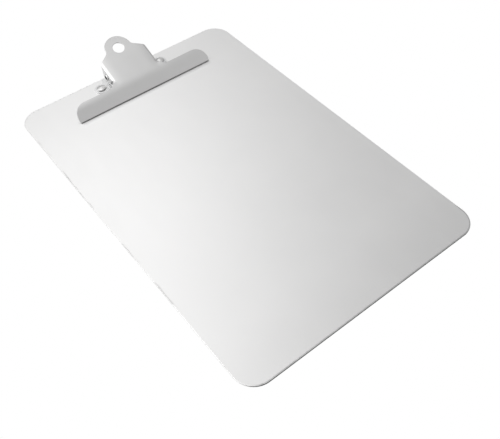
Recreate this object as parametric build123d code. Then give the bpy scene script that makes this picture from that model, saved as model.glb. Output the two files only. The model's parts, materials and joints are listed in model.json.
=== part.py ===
from build123d import *
import math
import os

# A metal clipboard: a flat aluminium board with a sprung lever clip riveted across one end.
# Millimetres. Origin at the centre of the board's underside, +Y towards the clip, +Z up.
# "Setback" is the distance from the board's clip-end edge towards its middle, and
# "height" is the distance above the board's top face.

# Board
BOARD_WIDTH = 230.0
BOARD_LENGTH = 350.0
BOARD_THICKNESS = 1.6
BOARD_CORNER_RADIUS = 18.0
BOARD_EDGE_ROUND = 0.3

# Pressed sheet of the clip
SHEET = 1.0

# Hinge
PIVOT_SETBACK = 13.0
PIVOT_HEIGHT = 9.5
PIN_RADIUS = 2.4
PIN_BORE_RADIUS = 1.75
PIN_HOLE_CLEARANCE = 0.05
PIN_LIP_RADIUS = 3.4
PIN_LIP_HEIGHT = 0.9
PIN_MOUTH_RADIUS = 2.6
PIN_FLARE_DEPTH = 1.7
PIN_LIP_GAP = 0.1

# Jaw lever, seen from the side: apron, bend, then the straight handle
JAW_EDGE_SETBACK = 44.0
JAW_REST_GAP = 0.03
APRON_TILT = 38.0
APRON_LENGTH = 10.3
BEND_RADIUS = 31.0
HANDLE_TILT = 21.1
HANDLE_LENGTH = 46.5

# Jaw lever, seen square to the handle; "along" is measured up the handle from the bend's end
WING_HALF_WIDTH = 72.8
WING_BACK_ALONG = -2.9
WING_FRONT_ALONG = -19.85
WING_FRONT_CORNER = 3.3
WING_BACK_CORNER = 12.5
WING_TO_HANDLE_FILLET = 6.5
HANDLE_HALF_WIDTH = 25.0
SHOULDER_ALONG = 24.6
SHOULDER_SLOPE = 34.5
SHOULDER_RADIUS = 6.0
TAB_RADIUS = 13.4
NECK_FILLET = 4.0
HANG_HOLE_RADIUS = 5.75

# Side flanges of the handle
FLANGE_BEND_RADIUS = 2.5
FLANGE_LOBE_RADIUS = 7.0
FLANGE_RISE_ANGLE = 57.0

# Base plate
PLATE_HALF_WIDTH = 27.5
PLATE_REAR_SETBACK = 2.5
PLATE_FRONT_SETBACK = 24.0
PLATE_CORNER = 2.0
LUG_RADIUS = 6.5
LUG_FILLET = 1.5
WINDOW_INNER = 9.0
WINDOW_SIDE_RELIEF = 0.6
EAR_RADIUS = 5.5
EAR_BEND_RADIUS = 1.5
EAR_FLANGE_GAP = 0.4

# Rivets
RIVET_X = 33.4
RIVET_SETBACK = 13.5
RIVET_SHANK_RADIUS = 2.35
RIVET_HEAD_RADIUS = 4.8
RIVET_HEAD_HEIGHT = 2.0
RIVET_HEAD_RIM = 0.3
RIVET_TAIL_RADIUS = 3.9
RIVET_TAIL_DEPTH = 1.1
RIVET_HOLE_CLEARANCE = 0.05

# Torsion springs
WIRE_RADIUS = 1.0
COIL_RADIUS = 3.9
COIL_START_X = 11.3
COIL_PITCH = 2.15
COIL_WHOLE_TURNS = 5
UPPER_LEG_LENGTH = 11.4
LOWER_LEG_END_SETBACK = 4.0
SPRING_SEAT_GAP = 0.05

# Places worked out from the dimensions above
BOARD_TOP = BOARD_THICKNESS
PLATE_TOP = BOARD_TOP + SHEET
REAR_Y = BOARD_LENGTH / 2
PIVOT_Y = REAR_Y - PIVOT_SETBACK
PIVOT_Z = BOARD_TOP + PIVOT_HEIGHT
RIVET_Y = REAR_Y - RIVET_SETBACK
FLANGE_INNER_X = HANDLE_HALF_WIDTH - SHEET
EAR_OUTER_X = FLANGE_INNER_X - EAR_FLANGE_GAP
EAR_INNER_X = EAR_OUTER_X - SHEET
FAR = 60.0


def side_plane(origin=(0, 0, 0)):
    """A plane square to X whose own axes are the part's Y and Z."""
    return Plane(origin=origin, x_dir=(0, 1, 0), z_dir=(1, 0, 0))


def across(face, half_width):
    """Extrude a side-view face over the full width, symmetric about the middle."""
    return extrude(face, half_width, both=True)


# ------------------------------------------------------------------ board


def rivet_places():
    return [(-RIVET_X, RIVET_Y), (RIVET_X, RIVET_Y)]


def board():
    """Flat sheet with round corners, softened edges and two countersunk rivet holes."""
    outline = RectangleRounded(BOARD_WIDTH, BOARD_LENGTH, BOARD_CORNER_RADIUS)
    body = extrude(outline, BOARD_THICKNESS)
    faces = body.faces().sort_by(Axis.Z)
    rims = faces[0].edges() + faces[-1].edges()
    body = fillet(rims, BOARD_EDGE_ROUND)
    hole_radius = RIVET_SHANK_RADIUS + RIVET_HOLE_CLEARANCE
    sink_radius = RIVET_TAIL_RADIUS + RIVET_HOLE_CLEARANCE
    for x, y in rivet_places():
        hole = Cylinder(hole_radius, 4 * BOARD_THICKNESS)
        sink = Cone(
            sink_radius,
            hole_radius,
            RIVET_TAIL_DEPTH,
            align=(Align.CENTER, Align.CENTER, Align.MIN),
        )
        body -= Pos(x, y, 0) * hole
        body -= Pos(x, y, 0) * sink
    return body


# ------------------------------------------------------------------ jaw lever


def jaw_chain(start, apron, bend_radius):
    """One side of the sheet's section: apron, bend and handle, from the jaw's edge up."""
    straight = PolarLine(start, apron, APRON_TILT)
    bend = JernArc(straight @ 1, straight % 1, bend_radius, HANDLE_TILT - APRON_TILT)
    handle = PolarLine(bend @ 1, HANDLE_LENGTH, HANDLE_TILT)
    return straight, bend, handle


def jaw_chains():
    """Upper and lower surface of the sheet in side view."""
    tilt = math.radians(APRON_TILT)
    lower_start = Vector(REAR_Y - JAW_EDGE_SETBACK, BOARD_TOP + JAW_REST_GAP)
    upper_start = lower_start + Vector(-math.sin(tilt), math.cos(tilt)) * SHEET
    upper = jaw_chain(upper_start, APRON_LENGTH, BEND_RADIUS)
    lower = jaw_chain(lower_start, APRON_LENGTH, BEND_RADIUS - SHEET)
    return upper, lower


def handle_plane():
    """Plane on the handle's upper surface: origin at the bend's end, Y up the handle."""
    upper, _ = jaw_chains()
    bend_end = upper[1] @ 1
    tilt = math.radians(HANDLE_TILT)
    return Plane(
        origin=(0, bend_end.X, bend_end.Y),
        x_dir=(1, 0, 0),
        z_dir=(0, -math.sin(tilt), math.cos(tilt)),
    )


def jaw_outline():
    """Outline of the lever square to its handle: wide wing, handle, shoulders and tab."""
    tab_along = HANDLE_LENGTH - TAB_RADIUS
    neck_x = TAB_RADIUS / 2
    neck_rise = (HANDLE_HALF_WIDTH - neck_x) * math.tan(math.radians(SHOULDER_SLOPE))
    right = [
        (WING_HALF_WIDTH, WING_FRONT_ALONG),
        (WING_HALF_WIDTH, WING_BACK_ALONG),
        (HANDLE_HALF_WIDTH, WING_BACK_ALONG),
        (HANDLE_HALF_WIDTH, SHOULDER_ALONG),
        (neck_x, SHOULDER_ALONG + neck_rise),
    ]
    radii = [WING_FRONT_CORNER, WING_BACK_CORNER, WING_TO_HANDLE_FILLET, SHOULDER_RADIUS, 0]
    left = [(-x, along) for x, along in reversed(right)]
    sides = FilletPolyline(*right, *left, radius=radii + radii[::-1], close=True)
    outline = make_face(sides) + Pos(0, tab_along) * Circle(TAB_RADIUS)
    necks = outline.vertices().filter_by_position(
        Axis.Y, SHOULDER_ALONG + SHOULDER_RADIUS, tab_along
    )
    outline = fillet(necks, NECK_FILLET)
    return outline - Pos(0, tab_along) * Circle(HANG_HOLE_RADIUS)


def channel_section():
    """Section of the handle's middle: a flat top with a rounded bend down each side."""
    outer = HANDLE_HALF_WIDTH
    inner = FLANGE_INNER_X
    points = [
        (-outer, -FAR / 2),
        (-outer, 0),
        (outer, 0),
        (outer, -FAR / 2),
        (inner, -FAR / 2),
        (inner, -SHEET),
        (-inner, -SHEET),
        (-inner, -FAR / 2),
    ]
    bend = FLANGE_BEND_RADIUS
    radii = [0, bend, bend, 0, 0, bend - SHEET, bend - SHEET, 0]
    return make_face(FilletPolyline(*points, radius=radii, close=True))


def flange_side_view():
    """Side view of a flange: upright rear edge, round lobe, then a rising front edge."""
    rise = math.radians(FLANGE_RISE_ANGLE)
    reach = FLANGE_LOBE_RADIUS
    tangent_y = PIVOT_Y - reach * math.sin(rise)
    tangent_z = PIVOT_Z - reach * math.cos(rise)
    front_y = tangent_y - FAR * math.cos(rise)
    front_z = tangent_z + FAR * math.sin(rise)
    points = [
        (PIVOT_Y, PIVOT_Z),
        (PIVOT_Y + reach, PIVOT_Z),
        (PIVOT_Y + reach, front_z),
        (front_y, front_z),
        (tangent_y, tangent_z),
    ]
    upright = make_face(Polyline(*points, close=True))
    return side_plane() * (upright + Pos(PIVOT_Y, PIVOT_Z) * Circle(reach))


def jaw_lever():
    """Pressed lever: jaw edge, apron, handle, side flanges and hanging tab in one sheet."""
    upper, lower = jaw_chains()
    ends = [
        Line(upper[0] @ 0, lower[0] @ 0),
        Line(upper[2] @ 1, lower[2] @ 1),
    ]
    strip = across(side_plane() * make_face([*upper, *lower, *ends]), WING_HALF_WIDTH + 1)

    plane = handle_plane()
    bend_start = WING_BACK_ALONG + WING_TO_HANDLE_FILLET
    bend_length = SHOULDER_ALONG - bend_start
    flat_edge = HANDLE_HALF_WIDTH - FLANGE_BEND_RADIUS
    for side in (-1, 1):
        corner = Box(2 * FLANGE_BEND_RADIUS, bend_length, 4 * SHEET)
        centre_x = side * (flat_edge + FLANGE_BEND_RADIUS)
        strip -= plane * Pos(centre_x, bend_start + bend_length / 2, 0) * corner

    section_plane = Plane(
        origin=plane.from_local_coords((0, bend_start, 0)),
        x_dir=plane.x_dir,
        z_dir=-plane.y_dir,
    )
    channel = extrude(section_plane * channel_section(), -bend_length)
    rounded_part = plane * Pos(0, bend_start + bend_length / 4, 0)
    rounded_part *= Box(3 * HANDLE_HALF_WIDTH, bend_length / 2, 2 * FLANGE_BEND_RADIUS)
    flanges = channel & (across(flange_side_view(), HANDLE_HALF_WIDTH + 1) + rounded_part)

    body = (strip + flanges) & extrude(plane * jaw_outline(), FAR, both=True)
    hole = Cylinder(PIN_RADIUS + PIN_HOLE_CLEARANCE, 3 * HANDLE_HALF_WIDTH)
    return body - side_plane((0, PIVOT_Y, PIVOT_Z)) * hole


# ------------------------------------------------------------------ base plate


def plate_outline():
    """Plan of the base plate: a block under the handle with a round lug to each rivet."""
    depth = PLATE_FRONT_SETBACK - PLATE_REAR_SETBACK
    middle_y = REAR_Y - PLATE_REAR_SETBACK - depth / 2
    block = Pos(0, middle_y) * RectangleRounded(2 * PLATE_HALF_WIDTH, depth, PLATE_CORNER)
    lugs = Pos(0, RIVET_Y) * SlotCenterToCenter(2 * RIVET_X, 2 * LUG_RADIUS)
    outline = block + lugs
    inner_corners = [
        v
        for v in outline.vertices()
        if abs(abs(v.X) - PLATE_HALF_WIDTH) < 0.01 and abs(abs(v.Y - RIVET_Y) - LUG_RADIUS) < 0.01
    ]
    outline = fillet(inner_corners, LUG_FILLET)
    for x, y in rivet_places():
        outline -= Pos(x, y) * Circle(RIVET_SHANK_RADIUS + RIVET_HOLE_CLEARANCE)
    return outline


def ear():
    """One hinge ear on the +X side, bent up from the plate, with its pin hole."""
    foot = EAR_OUTER_X + 2 * SHEET
    points = [
        (EAR_INNER_X, BOARD_TOP),
        (foot, BOARD_TOP),
        (foot, PLATE_TOP),
        (EAR_OUTER_X, PLATE_TOP),
        (EAR_OUTER_X, PIVOT_Z),
        (EAR_INNER_X, PIVOT_Z),
    ]
    radii = [EAR_BEND_RADIUS, 0, 0, EAR_BEND_RADIUS - SHEET, 0, 0]
    section = make_face(FilletPolyline(*points, radius=radii, close=True))
    section_plane = Plane(origin=(0, PIVOT_Y, 0), x_dir=(1, 0, 0), z_dir=(0, -1, 0))
    upright = extrude(section_plane * section, EAR_RADIUS, both=True)
    lobe_plane = side_plane((EAR_INNER_X, PIVOT_Y, PIVOT_Z))
    lobe = extrude(lobe_plane * Circle(EAR_RADIUS), SHEET)
    hole_face = Circle(PIN_RADIUS + PIN_HOLE_CLEARANCE)
    hole = extrude(lobe_plane * hole_face, 2 * SHEET, both=True)
    return upright + lobe - hole


def clip_base():
    """Base plate with two windows whose metal is bent up into the hinge ears."""
    plate = Pos(0, 0, BOARD_TOP) * extrude(plate_outline(), SHEET)
    window_outer = EAR_INNER_X + EAR_BEND_RADIUS
    window_width = window_outer - WINDOW_INNER
    window_depth = 2 * (EAR_RADIUS + WINDOW_SIDE_RELIEF)
    window = Box(window_width, window_depth, 4 * SHEET)
    right_ear = ear()
    for side in (-1, 1):
        plate -= Pos(side * (WINDOW_INNER + window_width / 2), PIVOT_Y, PLATE_TOP) * window
    return plate + right_ear + mirror(right_ear, about=Plane.YZ)


# ------------------------------------------------------------------ pin, rivets, springs


def hinge_pin():
    """Tubular pin across both flanges and both ears, each end flared into a rounded lip."""
    half_length = HANDLE_HALF_WIDTH + PIN_LIP_GAP
    lip_top = (PIN_MOUTH_RADIUS, PIN_LIP_HEIGHT)
    bore_start = (PIN_BORE_RADIUS, PIN_LIP_HEIGHT - PIN_FLARE_DEPTH)
    edges = [
        Polyline(
            bore_start,
            (PIN_BORE_RADIUS, -half_length),
            (PIN_RADIUS, -half_length),
            (PIN_RADIUS, 0),
            (PIN_LIP_RADIUS, 0),
        ),
        TangentArc((PIN_LIP_RADIUS, 0), lip_top, tangent=(0, 1)),
        TangentArc(bore_start, lip_top, tangent=(0, 1)),
    ]
    half = revolve(make_face(edges), Axis.Y)
    half = Pos(half_length, PIVOT_Y, PIVOT_Z) * Rot(0, 0, -90) * half
    return half + mirror(half, about=Plane.YZ)


def rivet(side):
    """Domed rivet through the plate and the board, its tail set flush underneath."""
    crown = (0, RIVET_HEAD_HEIGHT)
    rim = (RIVET_HEAD_RADIUS, RIVET_HEAD_RIM)
    edges = [
        Polyline(
            rim,
            (RIVET_HEAD_RADIUS, 0),
            (RIVET_SHANK_RADIUS, 0),
            (RIVET_SHANK_RADIUS, RIVET_TAIL_DEPTH - PLATE_TOP),
            (RIVET_TAIL_RADIUS, -PLATE_TOP),
            (0, -PLATE_TOP),
            crown,
        ),
        TangentArc(crown, rim, tangent=(1, 0)),
    ]
    body = revolve(make_face(edges), Axis.Y)
    return Pos(side * RIVET_X, RIVET_Y, PLATE_TOP) * Rot(90, 0, 0) * body


def upper_leg_tilt():
    """Tilt at which the upper leg's tip just reaches the underside of the handle."""
    pivot = handle_plane().to_local_coords(Vector(0, PIVOT_Y, PIVOT_Z))
    seat = -pivot.Z - SHEET - SPRING_SEAT_GAP
    coil_outside = COIL_RADIUS + WIRE_RADIUS
    leg_reach = math.hypot(coil_outside, UPPER_LEG_LENGTH)
    lean = math.asin(seat / leg_reach) - math.atan2(coil_outside, UPPER_LEG_LENGTH)
    return HANDLE_TILT + math.degrees(lean)


def torsion_spring():
    """Spring on the +X side: coil round the pin, one leg on the plate, one under the handle."""
    leg_end_y = PIVOT_SETBACK - LOWER_LEG_END_SETBACK
    leg_end_z = PLATE_TOP + WIRE_RADIUS + SPRING_SEAT_GAP - PIVOT_Z
    leg_end_reach = math.hypot(leg_end_y, leg_end_z)
    lower_leg_length = math.sqrt(leg_end_reach**2 - COIL_RADIUS**2)
    start_angle = math.atan2(leg_end_z, leg_end_y) - math.acos(COIL_RADIUS / leg_end_reach)
    start_angle = math.degrees(start_angle)
    end_angle = upper_leg_tilt() + 90 - 360 * COIL_WHOLE_TURNS
    turns = (start_angle - end_angle) / 360

    coil = Helix(COIL_PITCH, turns * COIL_PITCH, COIL_RADIUS, lefthand=True)
    coil_edge = (Rot(0, 0, start_angle) * coil).edge()
    lower_leg = Line(coil_edge @ 0 - (coil_edge % 0) * lower_leg_length, coil_edge @ 0)
    upper_leg = Line(coil_edge @ 1, coil_edge @ 1 + (coil_edge % 1) * UPPER_LEG_LENGTH)
    path = Wire([lower_leg.edge(), coil_edge, upper_leg.edge()])
    wire_end = Plane(origin=path @ 0, z_dir=path % 0) * Circle(WIRE_RADIUS)
    body = sweep(wire_end, path=path, is_frenet=True)
    return side_plane((COIL_START_X, PIVOT_Y, PIVOT_Z)) * body


# ------------------------------------------------------------------ write every piece


def main():
    right_spring = torsion_spring()
    pieces = {
        "board": board(),
        "clip_base": clip_base(),
        "jaw_lever": jaw_lever(),
        "hinge_pin": hinge_pin(),
        "spring_left": mirror(right_spring, about=Plane.YZ),
        "spring_right": right_spring,
        "rivet_left": rivet(-1),
        "rivet_right": rivet(1),
    }
    os.makedirs("parts", exist_ok=True)
    for name, piece in pieces.items():
        export_step(piece, f"parts/{name}.step")


main()
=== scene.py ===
import json
import math

import bmesh
import bpy
import numpy as np
from mathutils import Matrix, Vector
from mathutils.geometry import delaunay_2d_cdt


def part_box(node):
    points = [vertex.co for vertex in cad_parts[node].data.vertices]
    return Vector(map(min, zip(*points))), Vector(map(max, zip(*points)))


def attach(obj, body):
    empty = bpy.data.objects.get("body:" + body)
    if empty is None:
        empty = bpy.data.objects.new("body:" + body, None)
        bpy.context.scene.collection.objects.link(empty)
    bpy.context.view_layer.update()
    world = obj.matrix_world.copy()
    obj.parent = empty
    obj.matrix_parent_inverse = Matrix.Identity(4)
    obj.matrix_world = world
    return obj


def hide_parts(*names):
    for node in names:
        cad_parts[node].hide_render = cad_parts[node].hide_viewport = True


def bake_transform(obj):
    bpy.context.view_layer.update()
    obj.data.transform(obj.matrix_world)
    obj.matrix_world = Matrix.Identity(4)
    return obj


# A metal clipboard with a sprung lever clip, dressed around its CAD frame.
# Sizes are in millimetres, in the CAD frame. Meshes are scaled to metres when they are made.
# A pressed-sheet piece is drawn as its flat blank, then a surface function bends it into shape.

MM = 0.001
JAW = "jaw"
BASE = "board_and_base"

# Board
BOARD_CORNER_RADIUS = 18.0
BOARD_EDGE_ROUND = 0.35
BOARD_RIM_BAND = 1.6
BOARD_GRID = 10.0
COUNTERSINK_RADIUS = 3.95
COUNTERSINK_DEPTH = 1.1
COUNTERSINK_CLEARANCE = 2.0
RIVET_HOLE_RADIUS = 2.4
HOLE_EDGE_ROUND = 0.05

# Pressed sheet
SHEET = 1.0
SHEET_EDGE_ROUND = 0.28
SHEET_RIM_BAND = 0.5

# Jaw lever, side view
APRON_TILT = math.radians(38.0)
APRON_LENGTH = 10.3
BEND_RADIUS = 31.0
HANDLE_TILT = math.radians(21.1)
HANDLE_LENGTH = 46.5

# Jaw lever, blank
WING_BACK_ALONG = -2.9
WING_FRONT_CORNER = 3.3
WING_FRONT_CORNER_ALONG = -16.55
WING_TIP_ROUND = 1.4
WING_BACK_CORNER = 12.5
HANDLE_HALF_WIDTH = 25.0
SHOULDER_ALONG = 24.6
SHOULDER_SLOPE = math.radians(34.5)
SHOULDER_ROUND = 7.0
TAB_RADIUS = 13.4
NECK_FILLET = 4.0
HANG_HOLE_RADIUS = 5.75

# Side flanges
FLANGE_BEND_RADIUS = 2.5
FLANGE_LOBE_RADIUS = 7.0
NOTCH_INNER = (23.6, 4.8)
NOTCH_INNER_ROUND = 1.5
NOTCH_OUTER_X = 30.0
NOTCH_OUTER_ROUND = 5.0
BEND_FADE_START = 0.8
BEND_FADE_END = 5.4
CROWN_START_X = 15.0
CROWN_TILT = math.radians(2.5)
CROWN_FADE = 7.0
TAB_CURL_START = 39.5
TAB_CURL_TILT = math.radians(6.5)
PIN_HOLE_RADIUS = 2.45

# Base plate
PLATE_HALF_WIDTH = 27.5
PLATE_CORNER = 2.0
PLATE_EDGE_ROUND = 0.2
PLATE_RIM_BAND = 0.04
LUG_RADIUS = 6.5
LUG_FILLET = 1.5
WINDOW_INNER = 9.0
WINDOW_INNER_ROUND = 1.0
WINDOW_SIDE_RELIEF = 0.6
WINDOW_END_RELIEF = 0.3
WINDOW_RELIEF_ROUND = 0.29
WINDOW_EDGE_MARGIN = 0.4
EAR_RADIUS = 5.5
EAR_OUTER_X = 23.6
EAR_BEND_RADIUS = 0.5

# Hinge pin
PIN_RADIUS = 2.4
PIN_BORE_RADIUS = 1.75
PIN_LIP_RADIUS = 3.4
PIN_MOUTH_RADIUS = 2.6
PIN_LIP_HEIGHT = 0.9
PIN_FLARE_DEPTH = 1.7

# Rivets
RIVET_HEAD_RADIUS = 4.8
RIVET_HEAD_RIM = 0.3
RIVET_SHANK_RADIUS = 2.35
RIVET_TAIL_RADIUS = 3.9
RIVET_DOME_SPREAD = 0.94

# Torsion springs
WIRE_RADIUS = 1.0
COIL_RADIUS = 3.9
COIL_START_X = 11.3
COIL_PITCH = 2.15
COIL_WHOLE_TURNS = 5
UPPER_LEG_LENGTH = 11.4
LOWER_LEG_END_SETBACK = 4.0
SPRING_SEAT_GAP = 0.05

# Marks of use and painted shade. A pair gives the two ends of a soft edge, from the place it
# belongs to.
# Painted contact shadow on the board in front of the jaw.
JAW_SHADOW_FRONT = (-6.0, 0.0)
JAW_SHADOW_UNDER = (0.5, 7.0)
JAW_SHADOW_ENDS = (-4.0, 1.0)
JAW_SHADOW_DEPTH = 0.55
HANDLED_REACH = (0.0, 55.0)
# Painted shade on the board's front cut edge and its right front corner.
SHADED_EDGE_SLANT = 0.45
SHADED_EDGE_FRONT = (19.0, 27.0)
SHADED_EDGE_ASIDE = (118.0, 130.0)
TOP_FACE = (-0.4, -0.1)
# Painted shade along the jaw's lower edge, where it meets the board.
JAW_EDGE_SHADE_HEIGHT = (2.2, 2.8)
# Painted shade inside the pin's bore.
PIN_BORE_SHADE_EDGE = (-0.4, 0.2)
# Painted shadow at the front foot of each rivet head.
RIVET_SHADOW_INSIDE = (-1.3, -0.5)
RIVET_SHADOW_OUTSIDE = (0.2, 0.7)
RIVET_SHADOW_FRONT = (-3.2, 0.0)
RIVET_SHADOW_DEPTHS = (0.85, 0.25)

# Camera, placed from the middle of the board's top face
CAMERA_TARGET = (-22.4, -57.3)
CAMERA_DISTANCE = 523.5
CAMERA_AZIMUTH = math.radians(-35.68)
CAMERA_ELEVATION = math.radians(50.79)
CAMERA_ROLL = math.radians(-2.93)
CAMERA_LENS = 47.14
CAMERA_CLIP = (0.01, 20.0)
SENSOR_WIDTH = 36.0

# Light. The world and the floor are plain white to the camera; the metal mirrors these instead.
WHITE = (1.0, 1.0, 1.0, 1.0)
ROOM_LIGHT = 0.40
ROOM_DARKEST = 0.15
FLOOR_LIGHT = 0.85
FLOOR_FRONT_LIGHT = 0.03
FLOOR_FRONT_EDGE = (-1.0, 12.0)
FLOOR_GAP = 0.3
FLOOR_HALF_SIZE = 4000.0
# Each soft light: the way towards it, how narrow it is, how bright. Below zero is a dark patch.
SOFT_LIGHTS = [
    ((-0.122, 0.083, 0.989), 18.6, 1.70),
    ((0.159, 0.691, 0.705), 21.6, 1.183),
    ((0.599, -0.456, 0.658), 11.8, 0.275),
    ((-0.843, 0.341, 0.416), 9.4, 2.40),
    ((-0.010, 0.913, 0.407), 13.1, -0.596),
]

# Mesh fineness
ARC_STEP = 0.45
ROUND_STEPS = 3
CROWN_STEP = 1.5
WING_STEP = 4.0
HANDLE_STEP = 2.5
BEND_STEP = 0.8
PLATE_STEP = 3.0
FOLD_CUTS = 11
FADE_CUTS = 13
APRON_CUTS = 4
EAR_BEND_CUTS = 7
DOME_STEPS = 15
TURNED_STEPS = 72
COIL_STEPS = 40
LEG_STEPS = 14
WIRE_SIDES = 20
NUDGE = 1e-3
SNAP = 1e-4

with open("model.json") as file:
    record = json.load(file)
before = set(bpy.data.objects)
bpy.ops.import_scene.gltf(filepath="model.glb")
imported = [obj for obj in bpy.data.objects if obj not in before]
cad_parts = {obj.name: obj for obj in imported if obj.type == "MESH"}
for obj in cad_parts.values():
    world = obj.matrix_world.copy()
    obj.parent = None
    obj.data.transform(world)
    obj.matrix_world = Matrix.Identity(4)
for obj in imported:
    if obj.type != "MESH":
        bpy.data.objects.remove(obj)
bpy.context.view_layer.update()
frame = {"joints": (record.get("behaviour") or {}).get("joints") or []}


def node_box(node):
    """Lowest and highest corner of a CAD node, in millimetres."""
    low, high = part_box(node)
    return low / MM, high / MM


BOARD_LOW, BOARD_HIGH = node_box("board")
BASE_LOW, BASE_HIGH = node_box("clip_base")
JAW_LOW, JAW_HIGH = node_box("jaw_lever")
PIN_END_X = node_box("hinge_pin")[1].x
RIVET_LOW, RIVET_HIGH = node_box("rivet_right")
HINGE = Vector(frame["joints"][0]["pos_m"]) / MM
BOARD_TOP = BOARD_HIGH.z
PLATE_TOP = BOARD_TOP + SHEET
RIVET_X = (RIVET_LOW.x + RIVET_HIGH.x) / 2
RIVET_Y = (RIVET_LOW.y + RIVET_HIGH.y) / 2
WING_HALF_WIDTH = JAW_HIGH.x


# ------------------------------------------------------------------ outlines


def direction(angle):
    return np.array([math.cos(angle), math.sin(angle)])


def arc(centre, radius, start, end):
    """Points on an arc, from one angle to another, ends included."""
    count = max(3, math.ceil(abs(end - start) * radius / ARC_STEP))
    angles = np.linspace(start, end, count + 1)
    return [np.array(centre) + radius * direction(a) for a in angles]


def circle_hole(centre, radius):
    """A clockwise loop, so that the sheet lies on its left."""
    return arc(centre, radius, 2 * math.pi, 0)[:-1]


def fillet_corner(before, corner, after, radius):
    """Replace a corner with a tangent arc."""
    before, corner, after = (np.array(p, float) for p in (before, corner, after))
    if radius == 0:
        return [corner]
    into = (before - corner) / np.linalg.norm(before - corner)
    out = (after - corner) / np.linalg.norm(after - corner)
    half = math.acos(np.clip(into @ out, -1, 1)) / 2
    middle = (into + out) / np.linalg.norm(into + out)
    centre = corner + middle * radius / math.sin(half)
    reach = radius / math.tan(half)
    first = corner + into * reach - centre
    last = corner + out * reach - centre
    start = math.atan2(first[1], first[0])
    sweep = math.atan2(last[1], last[0]) - start
    sweep = (sweep + math.pi) % (2 * math.pi) - math.pi
    return arc(centre, radius, start, start + sweep)


def filleted(corners, closed=True):
    """Outline through (point, radius) corners. An open one keeps its two end points."""
    points = [np.array(p, float) for p, _ in corners]
    outline = []
    for i, (_, radius) in enumerate(corners):
        if not closed and i in (0, len(corners) - 1):
            outline.append(points[i])
            continue
        after = points[(i + 1) % len(points)]
        outline += fillet_corner(points[i - 1], points[i], after, radius)
    return outline


def mirrored(half):
    """A closed symmetric outline from its right half, given anticlockwise."""
    left = [np.array([-p[0], p[1]]) for p in reversed(half) if abs(p[0]) > SNAP]
    return half + left


def both_sides(places):
    """The same places on the left and on the right of the middle."""
    return [side * x for side in (-1, 1) for x in places]


# ------------------------------------------------------------------ meshes


def finish_piece(bm, name, material, node):
    """Turn a bmesh in millimetres, with its normals in a layer, into a piece of the scene."""
    layer = bm.verts.layers.float_vector["surface_normal"]
    bmesh.ops.scale(bm, vec=(MM, MM, MM), verts=bm.verts)
    normals = [v[layer].normalized() for v in bm.verts]
    for face in bm.faces:
        face.smooth = True
    bm.verts.layers.float_vector.remove(layer)
    mesh = bpy.data.meshes.new(name)
    bm.to_mesh(mesh)
    bm.free()
    mesh.normals_split_custom_set_from_vertices(normals)
    mesh.materials.append(material)
    piece = bpy.data.objects.new(name, mesh)
    bpy.context.scene.collection.objects.link(piece)
    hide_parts(node)
    return piece


class Loop:
    """One closed edge of a sheet: its points and the way out of the sheet at each."""

    def __init__(self, points, inset, cuts):
        points = np.array(points, float)
        into = points - np.roll(points, 1, axis=0)
        into /= np.linalg.norm(into, axis=1)[:, None]
        out = np.roll(into, -1, axis=0)
        tangent = into + out
        tangent /= np.linalg.norm(tangent, axis=1)[:, None]
        normal = np.stack([tangent[:, 1], -tangent[:, 0]], axis=1)
        edge_normal = np.stack([into[:, 1], -into[:, 0]], axis=1)
        mitre = 1 / np.maximum((normal * edge_normal).sum(axis=1), 0.5)
        self.way = normal * mitre[:, None]
        self.inner = points - self.way * inset
        for axis, places in enumerate(cuts):
            for place in places:
                self.split(axis, place)

    def split(self, axis, place):
        """Add a point wherever the loop crosses a cut line."""
        inner, way = [], []
        count = len(self.inner)
        for i in range(count):
            a, b = self.inner[i], self.inner[(i + 1) % count]
            inner.append(a)
            way.append(self.way[i])
            if (a[axis] - place) * (b[axis] - place) < 0:
                share = (place - a[axis]) / (b[axis] - a[axis])
                if SNAP < abs(a[axis] - place) and SNAP < abs(b[axis] - place):
                    inner.append(a + (b - a) * share)
                    way.append(self.way[i] + (self.way[(i + 1) % count] - self.way[i]) * share)
        self.inner = np.array(inner)
        self.way = np.array(way)


def flat_cells(loops, shift, cuts):
    """Fill the loops with polygons cut along straight lines. Returns points and polygons."""
    outlines = [loop.inner + loop.way * way_out for loop, way_out in zip(loops, shift)]
    points, edges = [], []
    for outline in outlines:
        first = len(points)
        count = len(outline)
        points += [Vector(p) for p in outline]
        edges += [(first + i, first + (i + 1) % count) for i in range(count)]
    filled = delaunay_2d_cdt(points, edges, [], 1, SNAP / 100)
    bm = bmesh.new()
    inner_edge = bm.edges.layers.int.new("inner_edge")
    verts = [bm.verts.new((p.x, p.y, 0)) for p in filled[0]]
    for triangle in filled[2]:
        middle = sum((filled[0][i] for i in triangle), Vector((0, 0))) / 3
        if sum(encloses(outline, middle) for outline in outlines) == 1:
            bm.faces.new([verts[i] for i in triangle])
    for edge in bm.edges:
        edge[inner_edge] = 0 if edge.is_boundary else 1
    for axis, places in enumerate(cuts):
        across = Vector((1, 0, 0)) if axis == 0 else Vector((0, 1, 0))
        for place in places:
            everything = bm.verts[:] + bm.edges[:] + bm.faces[:]
            bmesh.ops.bisect_plane(
                bm, geom=everything, dist=SNAP, plane_co=across * place, plane_no=across
            )
    spare = [e for e in bm.edges if e[inner_edge] == 1 and not on_cut(e, cuts)]
    bmesh.ops.dissolve_edges(bm, edges=spare, use_verts=False)
    loose = [v for v in bm.verts if not v.is_boundary and len(v.link_edges) == 2]
    bmesh.ops.dissolve_verts(bm, verts=loose)
    bm.verts.index_update()
    flat = [np.array(v.co.xy) for v in bm.verts]
    polygons = []
    for face in bm.faces:
        face.normal_update()
        corners = [v.index for v in face.verts]
        polygons.append(corners if face.normal.z >= 0 else corners[::-1])
    bm.free()
    return flat, polygons


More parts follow.
